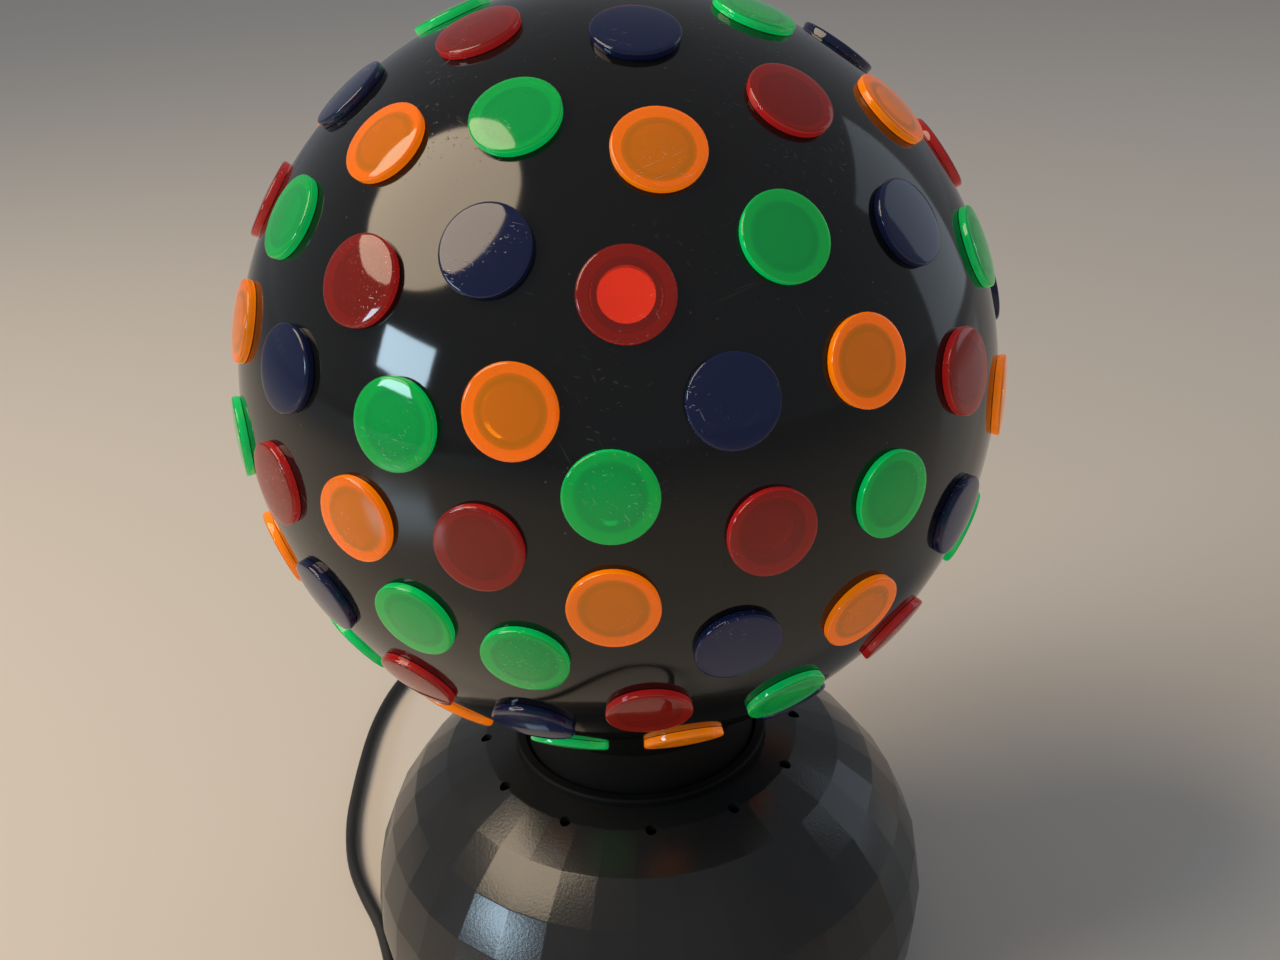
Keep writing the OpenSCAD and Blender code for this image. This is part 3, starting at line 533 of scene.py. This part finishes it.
def makeStandShell():
    rings = shellRings()
    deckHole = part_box("neck_ring")[1].x - shellSet["holeIn"]
    rings.append((deckHole, rings[-1][1]))
    deselectAll()
    bpy.ops.mesh.primitive_circle_add(vertices=shellSet["facets"], radius=rings[0][0],
                                      location=(0, 0, rings[0][1]),
                                      rotation=(0, 0, math.radians(180 / shellSet["facets"])))
    shell = bpy.context.object
    shell.name = "standShell"
    bpy.ops.object.transform_apply(location=True, rotation=True, scale=True)
    bpy.ops.object.mode_set(mode="EDIT")
    bpy.ops.mesh.select_all(action="SELECT")
    pullRings(rings)
    bpy.ops.mesh.select_all(action="SELECT")
    bpy.ops.mesh.normals_make_consistent(inside=False)
    bpy.ops.mesh.select_mode(type="EDGE")
    bpy.ops.mesh.select_all(action="SELECT")
    bpy.ops.mesh.region_to_loop()
    bpy.ops.mesh.select_all(action="INVERT")
    bpy.ops.mesh.bevel(offset=shellSet["edge"], segments=shellSet["edgeSegments"], affect="EDGES")
    bpy.ops.mesh.select_all(action="SELECT")
    bpy.ops.object.mode_set(mode="OBJECT")
    side = max(shell.data.polygons, key=lambda face: face.center.x)
    if side.normal.x < 0:  # the faces of this open surface look inwards
        bpy.ops.object.mode_set(mode="EDIT")
        bpy.ops.mesh.flip_normals()
        bpy.ops.object.mode_set(mode="OBJECT")
    applyModifier(shell, "SOLIDIFY", thickness=shellSet["wall"], offset=-1.0)
    cutters = []
    top = rings[-1][1]
    ventRing = rings[shellSet["rows"]][0] * math.cos(math.pi / shellSet["facets"]) - shellSet["ventIn"]
    for i in range(shellSet["ventCount"]):
        angle = math.radians(i * 360 / shellSet["ventCount"])
        place = (ventRing * math.sin(angle), -ventRing * math.cos(angle), top)
        bpy.ops.mesh.primitive_cylinder_add(vertices=shellSet["ventSides"], radius=shellSet["ventRadius"],
                                            depth=shellSet["ventDepth"], location=place)
        cutters.append(bpy.context.object)
    cutAway(shell, joinPieces(cutters, "ventCutters"))
    makeActive(shell)
    bpy.ops.object.shade_smooth_by_angle(angle=math.radians(shellSet["smoothAngle"]))
    shell.data.materials.clear()
    shell.data.materials.append(finishes["standBlack"])
    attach(shell, "stand")
    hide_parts("base_shell")


makeStandShell()
print("stand shell made")


# lenses: one is turned up ring by ring, then copied to every place of the lattice

lensSet = {
    "ringStep": 18,
    "ringCounts": [1, 7, 12, 16, 16, 16],
    "ringStarts": [0, 15, 0, 0, 11.25, 0],
    "globeTurn": -20,
    "globeRadius": 0.150,
    "globeHeight": 0.305257,
    "keepOut": 30.85,  # degrees from straight down that the neck leaves free
    "sides": 40,
    "rim": 0.0155,
    "height": 0.0025,
    "crown": 0.0010,
    "edge": 0.0010,
    "foot": 0.0152,
    "plug": 0.0108,
    "hollow": 0.0089,
    "hollowTop": 0.0009,
    "plugEnd": -0.0037,
    "plugSeat": -0.00025,
    "glowSeat": -0.00033,
    "footSeat": -0.00062,
    "edgeAngles": (0, 30, 60, 90),
    "crownRings": (0.0125, 0.0108, 0.0089, 0.0060, 0.0030, 0.0010),
    "smoothAngle": 40,
    "glowFrom": 0.0117,  # the flange's back is lit outside this radius
    "inwards": -0.5,  # a face whose normal is below this looks into the globe
    "upright": 0.6,  # and one within this either way stands on the globe
}
lensColours = {  # painted glow (emission) of the outside, the flange's back and the rim, in place of light piped inside the plastic
    "red": {"body": (0.27, 0.011, 0.003), "back": (0.46, 0.014, 0.012), "clear": 0.6,
            "glow": (0.22, 0.15, 0.25)},
    "orange": {"body": (0.85, 0.24, 0.0), "back": (1.0, 0.255, 0.0), "clear": 0.62,
               "glow": (0.22, 0.16, 0.30)},
    "green": {"body": (0.0, 0.48, 0.09), "back": (0.0, 0.66, 0.14), "clear": 0.55,
              "glow": (0.18, 0.08, 0.25)},
    "blue": {"body": (0.005, 0.010, 0.048), "back": (0.006, 0.011, 0.05), "clear": 0.4,
             "glow": (0.3, 0.2, 0.15)},
}
lensFinishSet = {
    "deeper": 0.82,
    "scuffColour": (0.5, 0.5, 0.5),
    "scuffScale": 1.9,
    "scuffReach": 0.02,
    "scuffRough": 0.25,
    "rough": (0.03, 0.08),
    "grain": 900.0,
    "ior": 1.49,
    "bump": 0.1,
    "depth": 0.0002,
    "rimClear": 0.3,
    "endShade": 0.2,
}
lensZones = ["Lens", "LensBack", "LensPlug", "LensRim", "LensEnd"]  # order of the material slots


def shaded(colour, share):
    return tuple(share * c for c in colour)


def makeLensFinish(name, colour, clear, glow):
    material, tree, shader = newMaterial(name)
    grain = useGroup(tree, mouldGrain, Scale=lensFinishSet["grain"])
    scratch = useGroup(tree, hairScratches, Amount=1.0, Scale=lensFinishSet["scuffScale"],
                       Reach=lensFinishSet["scuffReach"])
    deeper = shaded(colour, lensFinishSet["deeper"])
    tint = mixColours(tree, grain.outputs["Drift"], colour, deeper)
    scuffed = mixColours(tree, scratch.outputs["Mask"], tint, lensFinishSet["scuffColour"])
    tree.links.new(scuffed, shader.inputs["Base Color"])
    base = spread(tree, grain.outputs["Drift"], *lensFinishSet["rough"])
    rubbed = mathNode(tree, "MULTIPLY", scratch.outputs["Mask"], lensFinishSet["scuffRough"])
    tree.links.new(mathNode(tree, "ADD", base, rubbed), shader.inputs["Roughness"])
    shader.inputs["IOR"].default_value = lensFinishSet["ior"]
    shader.inputs["Transmission Weight"].default_value = clear
    # painted glow: emission in the lens's own colour, though the lens is no lamp
    shader.inputs["Emission Color"].default_value = rgba(colour)
    shader.inputs["Emission Strength"].default_value = glow
    bump(tree, shader, scratch.outputs["Mask"], lensFinishSet["bump"], lensFinishSet["depth"])
    return material


def lensProfile():  # (radius, height) from the hollow's roof down, round the rim and up to the crown
    crownRadius = lensSet["rim"] - lensSet["edge"]
    ball = (crownRadius ** 2 + lensSet["crown"] ** 2) / (2 * lensSet["crown"])
    top = lensSet["height"] + lensSet["crown"]
    profile = [(lensSet["hollow"], lensSet["hollowTop"]), (lensSet["hollow"], lensSet["plugEnd"]),
               (lensSet["plug"], lensSet["plugEnd"]), (lensSet["plug"], lensSet["plugSeat"]),
               (lensSet["glowFrom"], lensSet["glowSeat"]), (lensSet["foot"], lensSet["footSeat"])]
    for angle in lensSet["edgeAngles"]:
        a = math.radians(angle)
        profile.append((crownRadius + lensSet["edge"] * math.cos(a),
                        lensSet["height"] - lensSet["edge"] + lensSet["edge"] * math.sin(a)))
    for radius in lensSet["crownRings"]:
        profile.append((radius, top - ball + math.sqrt(ball ** 2 - radius ** 2)))
    return profile


def lensZone(face):
    reach = math.hypot(face.center.x, face.center.y)
    looksIn = face.normal.z < lensSet["inwards"]
    if looksIn and reach > lensSet["glowFrom"]:
        return "LensBack"
    if looksIn and face.center.z < 0.5 * lensSet["plugEnd"]:
        return "LensEnd"
    if face.center.z <= lensSet["hollowTop"] and reach < lensSet["glowFrom"]:
        return "LensPlug"
    if abs(face.normal.z) < lensSet["upright"] and reach > lensSet["plug"]:
        return "LensRim"
    return "Lens"


def makeLensShades(name):
    want = lensColours[name]
    # outside, back and rim: strengths of the painted glow on each zone
    outside, back, rim = want["glow"]
    looks = {
        "Lens": (want["body"], want["clear"], outside),
        "LensBack": (want["back"], 0.0, back),
        "LensPlug": (want["body"], want["clear"], 0.0),
        "LensRim": (want["back"], lensFinishSet["rimClear"], rim),
        # the plug end: painted shade, dark and opaque, in place of the dark ring that refraction in the plug
        # walls shows
        "LensEnd": (shaded(want["body"], lensFinishSet["endShade"]), 0.0, 0.0),
    }
    return [makeLensFinish(name + zone, *looks[zone]) for zone in lensZones]


def makeLensModel():
    profile = lensProfile()
    deselectAll()
    bpy.ops.mesh.primitive_circle_add(vertices=lensSet["sides"], radius=profile[0][0], fill_type="NGON",
                                      location=(0, 0, profile[0][1]))
    lens = bpy.context.object
    bpy.ops.object.transform_apply(location=True, rotation=True, scale=True)
    bpy.ops.object.mode_set(mode="EDIT")
    bpy.ops.mesh.select_mode(type="EDGE")
    bpy.ops.mesh.select_all(action="SELECT")
    bpy.ops.mesh.region_to_loop()
    pullRings(profile)
    bpy.ops.mesh.edge_face_add()
    bpy.ops.mesh.select_all(action="SELECT")
    bpy.ops.mesh.normals_make_consistent(inside=False)
    bpy.ops.object.mode_set(mode="OBJECT")
    bpy.ops.object.shade_smooth_by_angle(angle=math.radians(lensSet["smoothAngle"]))
    for face in lens.data.polygons:
        face.material_index = lensZones.index(lensZone(face))
    return lens


def lensColour(ring, i):
    if ring == 0:
        return "red"
    if ring == 1:
        return "orange" if i in (0, 2, 5) else "green"
    pair = {2: ("blue", "red"), 3: ("green", "orange"), 4: ("blue", "red"), 5: ("orange", "green")}
    return pair[ring][i % 2]


def lensPlaces(centre):
    places = {name: [] for name in lensColours}
    for ring, count in enumerate(lensSet["ringCounts"]):
        lean = math.radians(ring * lensSet["ringStep"])
        for i in range(count):
            turn = math.radians(lensSet["ringStarts"][ring] + i * 360 / count)
            down = math.degrees(math.acos(-math.sin(lean) * math.cos(turn)))
            if down < lensSet["keepOut"]:
                continue
            for half in (0, 180) if ring < len(lensSet["ringCounts"]) - 1 else (0,):
                place = Matrix.Translation(centre)
                place @= Matrix.Rotation(math.radians(lensSet["globeTurn"] + half), 4, "Z")
                place @= Matrix.Rotation(math.radians(90), 4, "X")
                place @= Matrix.Rotation(-turn, 4, "Z")
                place @= Matrix.Rotation(-lean, 4, "X")
                place @= Matrix.Translation((0, 0, lensSet["globeRadius"]))
                places[lensColour(ring, i)].append(place)
    return places


def makeLenses():
    centre = Vector((0, 0, lensSet["globeHeight"]))
    model = makeLensModel()
    for name, places in lensPlaces(centre).items():
        shades = makeLensShades(name)
        copies = []
        for place in places:
            copy = model.copy()
            copy.data = model.data.copy()
            for shade in shades:
                copy.data.materials.append(shade)
            copy.matrix_world = place
            scene.collection.objects.link(copy)
            copies.append(copy)
        lenses = joinPieces(copies, name + "Lenses")
        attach(lenses, "ball")
        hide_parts("lenses_" + name)
        print(name, "lenses:", len(places))
    bpy.data.objects.remove(model, do_unlink=True)


makeLenses()


# the rest of the CAD nodes keep their shapes and get finishes

nodeFinishes = {
    "standBlack": ["base_plate"],
    "neckBlackPaintedShade": ["neck_ring", "turntable"],
    "footRubber": ["rubber_feet", "cord_tie"],
    "cordSheath": ["inner_lead", "strain_relief"],
    "plugBlack": ["plug_body"],
    "zincSteel": ["base_screws", "chassis_plate", "pillar_screws", "stem", "motor", "motor_screws",
                  "clamp_ring", "clamp_screws", "motor_shaft"],
    "turnedAluminium": ["pillars", "bulb_cap"],
    "plainBrass": ["stem_nuts", "thread_sleeve", "plug_pins", "bush"],
    "creamPlastic": ["thrust_washer", "terminal_block", "pinion"],
    "holderBlack": ["lamp_holder"],
}


def dressNode(name, material):
    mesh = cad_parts[name].data
    mesh.materials.clear()
    mesh.materials.append(material)


for finish, names in nodeFinishes.items():
    for name in names:
        dressNode(name, finishes[finish])
dressNode("globe", globeGloss)
dressNode("bulb_glass", bulbFrost)
print("nodes dressed")


# pale floor and soft light

stageSet = {
    "floorSize": 40.0,
    "floorDrop": 0.0002,
    "aim": (0, 0, 0.305),
    "floorColour": (0.69, 0.64, 0.58),
    "floorRough": (0.55, 0.2),  # seen directly and seen in the globe
    "world": (0.22, 0.23, 0.25),
    "lights": {
        "warmSoftbox": {"azimuth": -83, "height": 49, "away": 1.9, "size": (1.5, 1.4), "watts": 34.0,
                        "colour": (1.0, 0.80, 0.57), "shape": "ELLIPSE"},
        "windowSoftbox": {"azimuth": -66, "height": 16, "away": 5.0, "size": (1.5, 0.85), "watts": 66.0,
                          "colour": (0.62, 0.84, 1.0)},
        "sideSoftbox": {"azimuth": 112, "height": 14, "away": 2.5, "size": (1.2, 1.6), "watts": 3.6,
                        "colour": (0.75, 0.88, 1.0)},
    },
}


def makeFloor():
    deselectAll()
    bpy.ops.mesh.primitive_plane_add(size=stageSet["floorSize"], location=(0, 0, -stageSet["floorDrop"]))
    floor = bpy.context.object
    floor.name = "paleFloor"
    material, tree, shader = newMaterial("paleFloor")
    shader.inputs["Base Color"].default_value = rgba(stageSet["floorColour"])
    path = addNode(tree, "ShaderNodeLightPath")
    rough = spread(tree, path.outputs["Is Glossy Ray"], *stageSet["floorRough"])
    tree.links.new(rough, shader.inputs["Roughness"])
    floor.data.materials.append(material)


def makeLight(name, want, target):
    a, e = math.radians(want["azimuth"]), math.radians(want["height"])
    way = Vector((math.sin(a) * math.cos(e), -math.cos(a) * math.cos(e), math.sin(e)))
    data = bpy.data.lights.new(name, "AREA")
    data.shape = want.get("shape", "RECTANGLE")
    data.size, data.size_y = want["size"]
    data.energy = want["watts"]
    data.color = want["colour"]
    light = bpy.data.objects.new(name, data)
    light.location = target + want["away"] * way
    light.rotation_mode = "QUATERNION"
    light.rotation_quaternion = (-way).to_track_quat("-Z", "Y")
    scene.collection.objects.link(light)


def makeStage():
    makeFloor()
    world = bpy.data.worlds.new("softRoom")
    world.use_nodes = True
    world.node_tree.nodes["Background"].inputs["Color"].default_value = rgba(stageSet["world"])
    scene.world = world
    for name, want in stageSet["lights"].items():
        makeLight(name, want, Vector(stageSet["aim"]))


makeStage()
print("stage lit")
